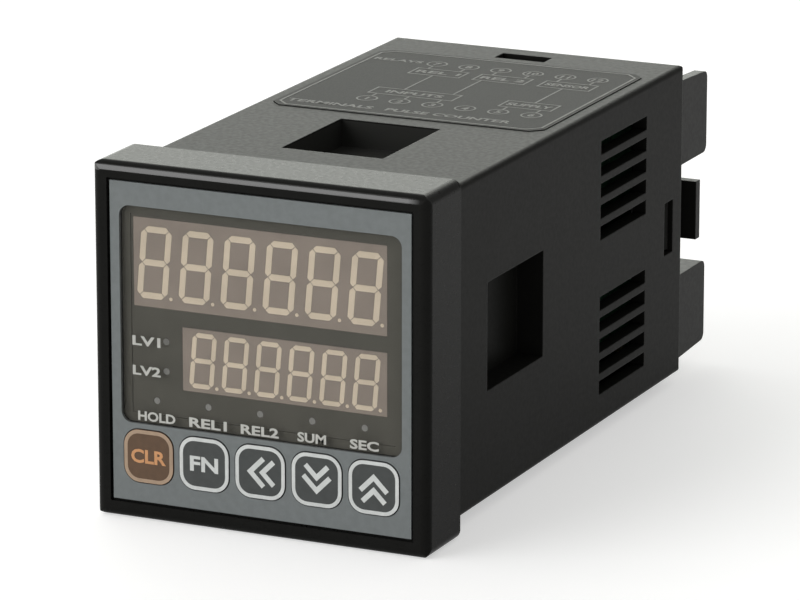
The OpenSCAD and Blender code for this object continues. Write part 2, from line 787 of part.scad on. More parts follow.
// Moulded case: square tube with bracket pockets, vent slots, latch slots and a marking field
module case() {
    half = case_w / 2;
    cup_floor = half - pocket_d - pocket_t;
    cup_half = pocket_w / 2 + pocket_t;
    color([0.15, 0.15, 0.15]) difference() {
        union() {
            difference() {
                translate([0, seat_y, 0]) mirror([0, 1, 0])
                    round_block(case_w, case_l - seat_y, case_corner_r, case_rear_r);
                along_y(seat_y - cut, case_l + cut) square(case_in, center = true);
            }
            on_four_sides() block([-cup_half, pocket_y - pocket_t, cup_floor],
                [cup_half, pocket_y + pocket_l + pocket_t, half - case_t + sink]);
        }
        on_four_sides() {
            block([-pocket_w / 2, pocket_y, half - pocket_d],
                [pocket_w / 2, pocket_y + pocket_l, half + cut]);
            block([-latch_w / 2, latch_y, half - case_t - cut],
                [latch_w / 2, latch_y + latch_l, half + cut]);
        }
        for (side = [-1, 1], group = [-1, 1], k = [0 : vent_n - 1])
            translate([side * half, case_l - vent_rear - vent_l / 2,
                group * vent_group_z + (k - (vent_n - 1) / 2) * vent_pitch])
                cube([2 * case_t + cut, vent_l, vent_h], center = true);
        translate([0, 0, half - field_d]) linear_extrude(field_d + cut) field();
    }
}

// Latch arm on the rear cover with its nose in the slot of the case, on the top side
module latch_arm() {
    arm_out = plug_w / 2;
    arm_front = latch_y + nose_gap;
    nose_back = latch_y + latch_l - nose_gap;
    nose_top = case_w / 2 - nose_sink;
    arm_w = latch_w - 2 * nose_gap;
    arm_back = cover_front + sink;
    along_x(-arm_w / 2, arm_w / 2) polygon([[arm_front, arm_out - arm_t], [arm_back, arm_out - arm_t],
        [arm_back, arm_out], [nose_back, arm_out], [nose_back, nose_top], [arm_front, arm_out]]);
}

// Release tab behind the case: a web that stands on the cover and a flange turned outwards
module release_tab(s) {
    outer = case_w / 2 - tab_inset;
    inner = outer - tab_reach;
    mirror([s < 0 ? 1 : 0, 0, 0]) {
        block([inner, case_l - sink, -tab_h / 2], [inner + tab_t, case_l + tab_d, tab_h / 2]);
        block([inner, case_l + tab_d - tab_t, -tab_h / 2], [outer, case_l + tab_d, tab_h / 2]);
    }
}

// Cover that closes the rear of the case, with four latch arms and two release tabs
module rear_cover() {
    color([0.13, 0.13, 0.13]) difference() {
        union() {
            along_y(cover_front, case_l) square(plug_w, center = true);
            on_four_sides() latch_arm();
            release_tab(1);
            release_tab(-1);
        }
        at_bays() terminal_cuts();
    }
}

// Screw hole and tail slot of one terminal
module terminal_cuts() {
    hole_d = screw_d + 2 * screw_gap;
    hole_end = head_y - screw_l - screw_gap;
    translate([0, hole_end, screw_z]) rotate([-90, 0, 0])
        cylinder(d = hole_d, h = plate_y + cut - hole_end);
    block([-tail_w / 2 - tail_gap, terminal_board_front - cut, tail_z - tail_gap],
        [tail_w / 2 + tail_gap, plate_y + cut, tail_z + plate_t + tail_gap]);
}

// Terminal strip: body with bays that are open to the rear and to its upper side
module terminal_strip() {
    bay_floor = case_l + strip_floor_t;
    color([0.16, 0.16, 0.16]) difference() {
        translate([0, case_l, 0]) along_x(-strip_w / 2, strip_w / 2) strip_side();
        at_strip_bays() block([-bay_w / 2, bay_floor, strip_wall_t],
            [bay_w / 2, case_l + strip_d + cut, strip_h + cut]);
        at_strip_bays() terminal_cuts();
    }
}

// Side view of a terminal strip, with round rear corners
module strip_side() {
    slope = atan(strip_drop / strip_d);
    arc_y = strip_d - strip_r;
    arc_z = strip_h - arc_y * tan(slope) - strip_r / cos(slope);
    polygon([[0, 0], [arc_y, 0], [strip_d, strip_r], [strip_d, arc_z],
        [arc_y + strip_r * sin(slope), arc_z + strip_r * cos(slope)], [0, strip_h]]);
    translate([arc_y, strip_r]) circle(strip_r);
    translate([arc_y, arc_z]) circle(strip_r);
}

module upper_terminal_strip() { at_upper_strip() terminal_strip(); }
module lower_terminal_strip() { at_lower_strip() terminal_strip(); }

// Board that joins the terminal tails to the side boards
module terminal_board() {
    color([0.1, 0.35, 0.2]) difference() {
        along_y(terminal_board_front, terminal_board_back) square(terminal_board_w, center = true);
        at_bays() terminal_cuts();
    }
}

// Terminal plates with their tails
module terminal_plates() {
    plate_w = bay_w - 2 * plate_gap;
    color([0.8, 0.72, 0.4]) at_bays() difference() {
        union() {
            block([-plate_w / 2, plate_y, plate_z], [plate_w / 2, plate_y + plate_t, plate_z + plate_h]);
            block([-tail_w / 2, terminal_board_front - tail_out, tail_z],
                [tail_w / 2, plate_y + plate_t, tail_z + plate_t]);
        }
        translate([0, plate_y - cut, screw_z]) rotate([-90, 0, 0])
            cylinder(d = screw_d + 2 * screw_gap, h = plate_t + 2 * cut);
    }
}

// Square clamp washers under the screw heads
module clamp_washers() {
    color([0.78, 0.78, 0.76]) at_bays() translate([0, 0, screw_z]) difference() {
        along_y(washer_y, head_y) square(washer_w, center = true);
        along_y(washer_y - cut, head_y + cut) circle(d = screw_d + 2 * screw_gap);
    }
}

// Terminal screws with crossed driver slots
module terminal_screws() {
    color([0.78, 0.78, 0.76]) at_bays() translate([0, 0, screw_z]) difference() {
        union() {
            along_y(head_y - screw_l, head_y + screw_head_h / 2) circle(d = screw_d);
            along_y(head_y, head_y + screw_head_h) circle(d = screw_head_d);
        }
        for (turn = [0, 90]) along_y(head_y + screw_head_h / 2, head_y + screw_head_h + cut) rotate(turn)
            square([driver_l, driver_w], center = true);
    }
}

bezel();
front_sheet();
display_window();
display_holder();
display_board();
upper_display();
upper_segments();
lower_display();
lower_segments();
indicator_lamps();
reset_key();
mode_key();
left_key();
down_key();
up_key();
reset_plunger();
mode_plunger();
left_plunger();
down_plunger();
up_plunger();
key_switches();
display_controller();
edge_connectors();
power_board();
output_board();
transformer_core();
transformer_coil();
capacitors();
output_relays();
input_couplers();
case();
rear_cover();
upper_terminal_strip();
lower_terminal_strip();
terminal_board();
terminal_plates();
clamp_washers();
terminal_screws();
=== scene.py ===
"""Looks of the panel counter: finishes, printed marks, floor, light and camera."""

import json
import math

import bmesh
import bpy
from mathutils import Matrix, Vector


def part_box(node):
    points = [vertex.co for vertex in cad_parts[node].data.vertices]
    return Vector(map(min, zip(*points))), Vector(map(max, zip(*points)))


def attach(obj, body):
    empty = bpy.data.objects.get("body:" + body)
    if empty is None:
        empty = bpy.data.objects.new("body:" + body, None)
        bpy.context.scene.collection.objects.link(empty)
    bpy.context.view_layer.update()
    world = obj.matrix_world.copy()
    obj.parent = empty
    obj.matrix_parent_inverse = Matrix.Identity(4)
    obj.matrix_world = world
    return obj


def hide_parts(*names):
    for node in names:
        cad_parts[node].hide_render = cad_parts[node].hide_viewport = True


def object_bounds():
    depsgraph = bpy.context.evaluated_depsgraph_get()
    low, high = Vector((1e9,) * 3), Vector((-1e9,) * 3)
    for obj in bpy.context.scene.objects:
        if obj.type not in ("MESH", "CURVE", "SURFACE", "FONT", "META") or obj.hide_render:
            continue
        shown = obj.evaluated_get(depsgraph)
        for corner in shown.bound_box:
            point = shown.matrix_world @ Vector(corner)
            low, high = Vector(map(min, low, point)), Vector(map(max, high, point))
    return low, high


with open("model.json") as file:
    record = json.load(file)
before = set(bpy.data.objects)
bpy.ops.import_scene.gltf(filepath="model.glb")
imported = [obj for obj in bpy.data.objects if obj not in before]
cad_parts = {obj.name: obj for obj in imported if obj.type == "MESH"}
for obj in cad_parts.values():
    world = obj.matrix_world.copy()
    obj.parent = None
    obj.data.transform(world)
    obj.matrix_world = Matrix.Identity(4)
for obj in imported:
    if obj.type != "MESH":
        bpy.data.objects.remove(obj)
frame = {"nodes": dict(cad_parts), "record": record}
cad_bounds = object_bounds()

MM = 0.001

# Camera: a long lens in front of the part, to its right and a little above it
IMAGE_W = 800
FOCAL_PIXELS = 5351
SENSOR_W = 36
AZIMUTH = math.radians(24.83)
ELEVATION = math.radians(15.26)
DISTANCE = 688.6 * MM
AIM_RIGHT = 18.16 * MM
AIM_UP = 7.61 * MM
CLIP_START = 10 * MM

# Surround: its least and greatest strength, its brightest side, and the shares of that side it grows over
WORLD_STRENGTH = (0.36, 0.6)
WORLD_TOWARDS = (-0.42, 0.87, 0.26)
WORLD_EDGE = (-0.3, 0.9)
WORLD_TINT = (1.0, 0.995, 0.965, 1)

# Lamps: each is a name, where it shines from, its strength, its spread and its tint
LAMPS = (
    ("front_lamp", (-0.6, -0.72, 0.34), 1.75, math.radians(50), (1, 1, 1)),
    ("back_lamp", (-0.42, 0.86, 0.3), 1.5, math.radians(48), (0.97, 1, 0.93)),
    ("side_lamp", (-0.75, 0.1, 0.66), 0.6, math.radians(60), (1, 1, 1)),
)

# Floor: half its side, its tone, and the white light that lifts it where it is seen
FLOOR_HALF = 3
FLOOR_TONE = (0.7, 0.7, 0.7, 1)
FLOOR_LIGHT = (1, 1, 1, 1)
FLOOR_LIFT = 0.48

# Patterns: the part of their range that tone and gloss change over, noise detail and the wave texture's rate
PATTERN_SPAN = (0.35, 0.65)
NOISE_DETAIL = 2.0
WAVE_RATE = 20

# Plastic: its spots of tone and of gloss, in grains, and how far its gloss swings
TONE_SPOT = 12
TONE_DETAIL = 3.0
GLOSS_SPOT = 3
GLOSS_SWING = 0.03

# Transformer core: pitch and unevenness of its laminations, and the part of them that tone changes over
LAMINATION = 0.5 * MM
LAMINATION_BEND = 0.3
LAMINATION_SPAN = (0.1, 0.6)

# Shiny upper front edge of the frame, which fades and ends before the right corner
EDGE_START = 0.004 * MM
EDGE_DEPTH = 0.28 * MM
EDGE_HEIGHT = 1.3 * MM
EDGE_FADE = 3 * MM
EDGE_END = 1.25 * MM
EDGE_ROUGH = 0.15
EDGE_IOR = 1.6

# Grey behind the window: the holder's own tone, also given to the ledge of the frame, and on the walls of its
# opening painted light that lifts the shade of the gap between ledge and holder
HOLDER_TONE = (0.117, 0.113, 0.095)
LEDGE_REACH = 0.05 * MM
OPENING_DEPTH = 1.6 * MM

# Upper bracket pocket, whose walls carry painted light: a greyer tone than the outside of the case, standing
# in for light reaching into the pocket
POCKET_SIDE = 7.4 * MM
POCKET_LENGTH = (11.9 * MM, 30.4 * MM)
POCKET_HEIGHT = (18.5 * MM, 22.2 * MM)
POCKET_PAINTED_LIGHT = (0.03, 0.0303, 0.0283)

# Floor of the driver slots in the screws, with painted shade that makes it darker than the heads
RECESS_DEPTH = 1.0 * MM
RECESS_REACH = 0.05 * MM
RECESS_PAINTED_SHADE = (0.11, 0.11, 0.106)

# Inks: the grain and its height, which the marking plate shares, and the tones
INK_GRAIN = 0.08 * MM
INK_RELIEF = 0.001 * MM
INK_TONES = {
    "white_ink": (0.66, 0.68, 0.67),
    "tan_ink": (0.41, 0.295, 0.207),
    "orange_ink": (0.62, 0.31, 0.14),
    "label_ink": (0.52, 0.52, 0.49),
    "grey_ink": (0.13, 0.13, 0.122),
    "number_ink": (0.5, 0.5, 0.48),
}

# Printed marks: ink thickness, how far a mark sinks into what carries it, and how near corners are welded
INK_T = 0.025 * MM
INK_SINK = 0.005 * MM
WELD_REACH = 0.0001 * MM
ARC_STEPS = 8
CIRCLE_STEPS = 28

# Words: weight, depth and steps of the built-in font's outlines, in the font's own units
TEXT_WEIGHT = 0.03
TEXT_DEPTH = 0.1
TEXT_STEPS = 3

# Keys: cap size, ring and double arrows
KEYS = ("reset", "mode", "left", "down", "up")
CAP_W = 7.18 * MM
CAP_R = 2.2 * MM
RING_W = 0.5 * MM
RING_INSET = 0.03 * MM
CHEVRON_W = 0.68 * MM
CHEVRON_LEAD = 1.42 * MM
CHEVRON_PITCH = 1.76 * MM
CHEVRON_REACH = (1.9 * MM, 1.6 * MM)
# Each key's word with its width and height, or the turn of its arrows in degrees
KEY_WORDS = {"reset": ("CLR", 5.1 * MM, 1.9 * MM), "mode": ("FN", 4.1 * MM, 2.05 * MM)}
KEY_TURNS = {"left": 90, "down": 180, "up": 0}

# Window pane: corner radius, and how far it is clear of the ledge behind it
PANE_R = 1.5 * MM
PANE_GAP = 0.03 * MM

# Lamp labels on the window: a row below the lower lamps, and two to the left of the side lamps
LAMP_BODY_W = 2.2 * MM
LAMP_SIDE_GAP = 2.4 * MM
LAMP_SIDE_PITCH = 4 * MM
LABEL_H = 1.3 * MM
LABEL_PITCH = 1.05
ROW_LABELS = ("HOLD", "REL1", "REL2", "SUM", "SEC")
ROW_LABEL_DROP = 2.0 * MM
ROW_LABEL_SHIFT = 0.38 * MM
SIDE_LABELS = ("LV1", "LV2")
SIDE_LABEL_GAP = 2.42 * MM

# Marking plate in the sunk field on the top of the case, and how far it stands proud
FIELD_DEPTH = 0.25 * MM
PLATE_RISE = 0.1 * MM
FIELD_SIDE = 2.2 * MM
FIELD_FRONT = 34 * MM
FIELD_REAR = 8.6 * MM
FIELD_CUT = 1.6 * MM
FIELD_GAP = 0.05 * MM
BORDER_INSET = 0.75 * MM
BORDER_W = 0.3 * MM

# Wiring diagram on the marking plate: two rows of terminals and the boxes that they lead to
DIAGRAM_LINE = 0.26 * MM
DIAGRAM_FIRST = -9.2 * MM
DIAGRAM_PITCH = 4.9 * MM
DIAGRAM_ROWS = (42.4 * MM, 65.6 * MM)
TERMINAL_R = 1.4 * MM
DIGIT_H = 1.5 * MM
LEAD_L = 1.8 * MM
BOX_D = 3.6 * MM
BOX_WORD_H = 1.5 * MM
BOX_WORD_GAP = 0.55 * MM
DIAGRAM_WORD_PITCH = 0.95
# Each box is a word, its row of terminals, and its first and last terminal in that row
DIAGRAM_BOXES = (
    ("INPUTS", 0, 0, 2),
    ("SUPPLY", 0, 4, 5),
    ("REL 1", 1, 0, 1),
    ("REL 2", 1, 2, 3),
    ("SENSOR", 1, 4, 5),
)
# Places across the part of the lines that join the two rows of boxes
DIAGRAM_LINKS = (-6.75 * MM, 0.6 * MM, 12.85 * MM)
# Each line of words is the words, where they stand, and their height
DIAGRAM_WORDS = (
    ("TERMINALS", (-12.4 * MM, 37.4 * MM), 1.5 * MM),
    ("PULSE COUNTER", (5.2 * MM, 37.4 * MM), 1.5 * MM),
    ("RELAYS", (-15.1 * MM, 65.6 * MM), 1.3 * MM),
)

# Rear terminals and their numbers
BAYS = 6
STRIP_END_T = 1.6 * MM
BARRIER_T = 1.1 * MM
NUMBER_H = 2.0 * MM
NUMBER_GAP = 2.0 * MM

# Planes that marks are drawn on: the front, the top and the rear of the part
FRONT = Matrix.Rotation(math.radians(90), 4, "X")
TOP = Matrix.Identity(4)
REAR = Matrix.Rotation(math.radians(180), 4, "Z") @ FRONT


def fill(tree, node, inputs):
    """Gives inputs of a node, by name or number, a plain value or the output of another node."""
    for name, value in inputs.items():
        if isinstance(value, bpy.types.NodeSocket):
            tree.links.new(value, node.inputs[name])
        else:
            node.inputs[name].default_value = value


def add_node(tree, kind, inputs):
    """New node with its inputs filled."""
    node = tree.nodes.new(kind)
    fill(tree, node, inputs)
    return node


def calculate(tree, operation, *terms):
    """Result of an operation on plain values and outputs of nodes."""
    node = tree.nodes.new("ShaderNodeMath")
    node.operation = operation
    fill(tree, node, dict(enumerate(terms)))
    return node.outputs[0]


def map_range(tree, value, span, low, high):
    """Node that goes from low to high where a value goes over a span."""
    return add_node(tree, "ShaderNodeMapRange", {
        "Value": value, "From Min": span[0], "From Max": span[1], "To Min": low, "To Max": high})


class Finish:
    """A procedural material whose patterns lie in the part's own space."""

    def __init__(self, name, specular=0.5, metallic=0.0, alpha=1.0):
        self.material = bpy.data.materials.new(name)
        self.material.use_nodes = True
        self.tree = self.material.node_tree
        self.shader = self.tree.nodes["Principled BSDF"]
        self.space = self.tree.nodes.new("ShaderNodeTexCoord").outputs["Object"]
        self.look({"Specular IOR Level": specular, "Metallic": metallic, "Alpha": alpha})

    def look(self, inputs):
        """Fills inputs of the finish's shader."""
        fill(self.tree, self.shader, inputs)

    def noise(self, size, detail=NOISE_DETAIL):
        """Cloudy pattern with spots of one size."""
        inputs = {"Vector": self.space, "Scale": 1 / size, "Detail": detail}
        return add_node(self.tree, "ShaderNodeTexNoise", inputs).outputs[0]

    def bands(self, pitch, axis, distortion=0.0):
        """Stripes across one axis."""
        scale = 2 * math.pi / (WAVE_RATE * pitch)
        inputs = {"Vector": self.space, "Scale": scale, "Distortion": distortion}
        node = add_node(self.tree, "ShaderNodeTexWave", inputs)
        node.bands_direction = axis
        return node.outputs["Fac"]

    def colour(self, pattern, dark, light, span=PATTERN_SPAN):
        """Two tones mixed by a pattern."""
        ramp = add_node(self.tree, "ShaderNodeValToRGB", {"Fac": pattern})
        for element, position, tone in zip(ramp.color_ramp.elements, span, (dark, light)):
            element.position = position
            element.color = (*tone, 1)
        self.look({"Base Color": ramp.outputs["Color"]})

    def gloss(self, pattern, low, high):
        """Roughness that a pattern varies."""
        node = map_range(self.tree, pattern, PATTERN_SPAN, low, high)
        self.look({"Roughness": node.outputs["Result"]})

    def axes(self):
        """Place along each axis of the part."""
        return add_node(self.tree, "ShaderNodeSeparateXYZ", {0: self.space}).outputs

    def within(self, low, high):
        """Pattern that is 1 inside a box of the part's space and 0 outside it."""
        total = 1
        for place, start, end in zip(self.axes(), low, high):
            inside = calculate(self.tree, "COMPARE", place, (start + end) / 2, (end - start) / 2)
            total = self.product(total, inside)
        return total

    def fade(self, axis, start, end):
        """Pattern that falls from 1 to 0 between two places along an axis of the part."""
        return map_range(self.tree, self.axes()[axis], (start, end), 1, 0).outputs["Result"]

    def product(self, first, second):
        """Two patterns multiplied."""
        return calculate(self.tree, "MULTIPLY", first, second)

    def tint(self, pattern, tone):
        """Another tone where a pattern is 1."""
        base = self.shader.inputs["Base Color"].links[0].from_socket
        inputs = {"Fac": pattern, "Color1": base, "Color2": (*tone, 1)}
        mix = add_node(self.tree, "ShaderNodeMixRGB", inputs)
        self.look({"Base Color": mix.outputs["Color"]})

    def polish(self, pattern, rough, ior):
        """Clear shine over the finish where a pattern is 1."""
        self.look({"Coat Weight": pattern, "Coat Roughness": rough, "Coat IOR": ior})

    def relief(self, pattern, height, edge_r=0.0):
        """Fine relief of a pattern, and softened edges."""
        inputs = {"Height": pattern, "Distance": height}
        if edge_r:
            bevel = add_node(self.tree, "ShaderNodeBevel", {"Radius": edge_r})
            inputs["Normal"] = bevel.outputs["Normal"]
        bump = add_node(self.tree, "ShaderNodeBump", inputs)
        self.look({"Normal": bump.outputs["Normal"]})


def shade(tone, factor):
    """A tone made darker or lighter."""
    return tuple(c * factor for c in tone)


def plastic(name, tone, rough, grain, height, specular=0.5, edge_r=0.0, spread=0.05, alpha=1.0):
    """Moulded or printed plastic: slightly uneven tone, uneven gloss and a fine grain."""
    finish = Finish(name, specular=specular, alpha=alpha)
    spots = finish.noise(TONE_SPOT * grain, TONE_DETAIL)
    finish.colour(spots, shade(tone, 1 - spread), shade(tone, 1 + spread))
    finish.gloss(finish.noise(GLOSS_SPOT * grain), rough - GLOSS_SWING, rough + GLOSS_SWING)
    finish.relief(finish.noise(grain), height, edge_r)
    return finish


def case_plastic():
    """Matt black, with painted light that makes the upper pocket greyer."""
    finish = plastic("case_plastic", tone=(0.0105, 0.0105, 0.0096), rough=0.42, grain=0.22 * MM,
                     height=0.0035 * MM, specular=0.03, edge_r=0.25 * MM)
    low, high = zip((-POCKET_SIDE, POCKET_SIDE), POCKET_LENGTH, POCKET_HEIGHT)
    # Painted light: a greyer tone over the inside of the upper pocket
    finish.tint(finish.within(low, high), POCKET_PAINTED_LIGHT)
    return finish.material


def bezel_plastic():
    """Smoother black with a shiny upper edge, grey on the ledge behind the window, and painted light on the
    walls of the window opening.
    """
    finish = plastic("bezel_plastic", tone=(0.0105, 0.0105, 0.0098), rough=0.3, grain=0.2 * MM,
                     height=0.001 * MM, specular=0.035)
    low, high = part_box("bezel")
    start = (low.x, low.y + EDGE_START, high.z - EDGE_HEIGHT)
    end = (high.x - EDGE_END, low.y + EDGE_DEPTH, high.z)
    shine = finish.product(finish.within(start, end), finish.fade("X", high.x - EDGE_FADE, end[0]))
    finish.polish(shine, EDGE_ROUGH, EDGE_IOR)
    # Holder grey on the ledge, and painted light on the walls of the opening over the shade of the gap
    low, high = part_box("display_window")
    start = (low.x, high.y - LEDGE_REACH, low.z)
    finish.tint(finish.within(start, (high.x, high.y + OPENING_DEPTH, high.z)), HOLDER_TONE)
    return finish.material


def terminal_plastic():
    """Matt black, a little lighter than the case."""
    return plastic("terminal_plastic", tone=(0.012, 0.012, 0.0112), rough=0.42, grain=0.2 * MM,
                   height=0.005 * MM, specular=0.06, edge_r=0.2 * MM).material


def printed_sheet():
    """Grey blue satin film."""
    return plastic("printed_sheet", tone=(0.17, 0.186, 0.188), rough=0.42, grain=0.09 * MM,
                   height=0.002 * MM, specular=0.3).material


def smoked_window():
    """Dark and nearly clear."""
    return plastic("smoked_window", tone=(0.08, 0.078, 0.072), rough=0.3, grain=0.8 * MM,
                   height=0.001 * MM, specular=0.3, alpha=0.12).material


def holder_plastic():
    """Matt dark grey."""
    return plastic("holder_plastic", tone=HOLDER_TONE, rough=0.45, grain=0.3 * MM,
                   height=0.002 * MM, specular=0.08).material


def circuit_board():
    """Green solder mask over a weave."""
    finish = Finish("circuit_board")
    cloud = finish.noise(size=1.8 * MM, detail=4.0)
    finish.colour(cloud, dark=(0.005, 0.042, 0.015), light=(0.009, 0.08, 0.03))
    finish.gloss(finish.noise(size=0.8 * MM), low=0.28, high=0.42)
    finish.relief(finish.bands(pitch=0.35 * MM, axis="Z", distortion=0.4), height=0.004 * MM)
    return finish.material


def display_body():
    """Grey brown cast face."""
    return plastic("display_body", tone=(0.357, 0.295, 0.248), rough=0.5, grain=0.3 * MM,
                   height=0.001 * MM).material


def display_segment():
    """Milky resin of an unlit segment."""
    return plastic("display_segment", tone=(0.925, 0.785, 0.605), rough=0.45, grain=0.3 * MM,
                   height=0.001 * MM).material


def lamp_lens():
    """Milky resin of an unlit lamp."""
    return plastic("lamp_lens", tone=(0.3, 0.297, 0.28), rough=0.35, grain=0.15 * MM,
                   height=0.002 * MM).material


def brown_key():
    """Brown satin cap."""
    return plastic("brown_key", tone=(0.105, 0.058, 0.03), rough=0.4, grain=0.09 * MM,
                   height=0.002 * MM, specular=0.35, edge_r=0.1 * MM, spread=0.08).material


def dark_key():
    """Dark grey satin cap."""
    return plastic("dark_key", tone=(0.05, 0.055, 0.054), rough=0.4, grain=0.09 * MM,
                   height=0.002 * MM, specular=0.35, edge_r=0.1 * MM, spread=0.08).material


def plunger_plastic():
    """Ivory moulded plungers."""
    return plastic("plunger_plastic", tone=(0.7, 0.66, 0.58), rough=0.4, grain=0.15 * MM,
                   height=0.003 * MM).material


def switch_plastic():
    """Black moulded switches."""
    return plastic("switch_plastic", tone=(0.04, 0.04, 0.04), rough=0.45, grain=0.15 * MM,
                   height=0.003 * MM).material


def chip_plastic():
    """Black moulded epoxy."""
    return plastic("chip_plastic", tone=(0.02, 0.02, 0.02), rough=0.5, grain=0.1 * MM,
                   height=0.004 * MM).material


def connector_plastic():
    """Cream moulded connectors."""
    return plastic("connector_plastic", tone=(0.6, 0.57, 0.48), rough=0.45, grain=0.15 * MM,
                   height=0.003 * MM).material


def core_steel():
    """Varnished laminations."""
    finish = Finish("core_steel", metallic=0.85)
    layers = finish.bands(LAMINATION, "X", LAMINATION_BEND)
    finish.colour(layers, dark=(0.06, 0.06, 0.065), light=(0.18, 0.18, 0.19), span=LAMINATION_SPAN)
    finish.gloss(finish.noise(size=0.6 * MM), low=0.35, high=0.55)
    finish.relief(layers, height=0.02 * MM)
    return finish.material


def coil_tape():
    """Yellow tape in turns."""
    finish = Finish("coil_tape")
    cloud = finish.noise(size=2.5 * MM, detail=3.0)
    finish.colour(cloud, dark=(0.46, 0.27, 0.04), light=(0.6, 0.39, 0.07))
    finish.gloss(finish.noise(size=0.7 * MM), low=0.2, high=0.35)
    finish.relief(finish.bands(pitch=3.2 * MM, axis="Z", distortion=0.8), height=0.03 * MM)
    return finish.material


def capacitor_sleeve():
    """Dark blue shrunk sleeve."""
    return plastic("capacitor_sleeve", tone=(0.018, 0.026, 0.07), rough=0.28, grain=0.3 * MM,
                   height=0.004 * MM).material


def relay_plastic():
    """Blue moulded covers."""
    return plastic("relay_plastic", tone=(0.018, 0.045, 0.18), rough=0.32, grain=0.25 * MM,
                   height=0.004 * MM).material


def terminal_brass():
    """Brass with faint rolling marks."""
    finish = Finish("terminal_brass", metallic=1.0)
    finish.colour(finish.noise(size=3 * MM), dark=(0.54, 0.44, 0.19), light=(0.62, 0.52, 0.24))
    finish.gloss(finish.noise(size=1.5 * MM), low=0.28, high=0.36)
    finish.relief(finish.bands(pitch=0.5 * MM, axis="X", distortion=1.5), height=0.0003 * MM)
    return finish.material


def nickel(name):
    """Nickel plating, a little cloudy."""
    finish = Finish(name, metallic=1.0)
    finish.colour(finish.noise(size=2.5 * MM), dark=(0.55, 0.55, 0.53), light=(0.62, 0.62, 0.6))
    finish.gloss(finish.noise(size=1.5 * MM), low=0.26, high=0.34)
    finish.relief(finish.noise(size=1.5 * MM), height=0.0003 * MM)
    return finish


def plated_steel():
    """Plain nickel plated steel."""
    return nickel("plated_steel").material


def screw_steel():
    """Nickel plated steel, with painted shade on the floors of the driver slots."""
    finish = nickel("screw_steel")
    low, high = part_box("terminal_screws")
    start = (low.x, high.y - RECESS_DEPTH - RECESS_REACH, low.z)
    end = (high.x, high.y - RECESS_DEPTH + RECESS_REACH, high.z)
    # Painted shade: a darker tone on the floors of the driver slots
    finish.tint(finish.within(start, end), RECESS_PAINTED_SHADE)
    return finish.material


def plate_finish():
    """Bare matt black plate."""
    return plastic("plate_finish", tone=(0.012, 0.012, 0.011), rough=0.46, grain=INK_GRAIN,
                   height=INK_RELIEF, specular=0.02).material


def ink(name, rough=0.5, specular=0.3):
    """Printed ink, a little uneven in cover."""
    return plastic(name, INK_TONES[name], rough, INK_GRAIN, INK_RELIEF, specular=specular).material


# Finishes that are named after their slot in the record
SLOT_FINISHES = (
    case_plastic, terminal_plastic, printed_sheet, smoked_window, holder_plastic, circuit_board, display_body,
    display_segment, lamp_lens, brown_key, dark_key, plunger_plastic, switch_plastic, chip_plastic,
    connector_plastic, core_steel, coil_tape, capacitor_sleeve, relay_plastic, terminal_brass, plated_steel,
)


def dress_nodes():
    """Gives every node the finish of its slot in the record, or its own."""
    finishes = {make.__name__: make() for make in SLOT_FINISHES}
    own = {"bezel": bezel_plastic(), "terminal_screws": screw_steel()}
    for subpart in frame["record"]["subparts"]:
        part = frame["nodes"][subpart["node"]]
        for slot in part.material_slots:
            slot.material = own.get(subpart["node"], finishes[subpart["material_slot"]])


def add_object(name, data):
    """New object in the scene."""
    obj = bpy.data.objects.new(name, data)
    bpy.context.scene.collection.objects.link(obj)
    return obj


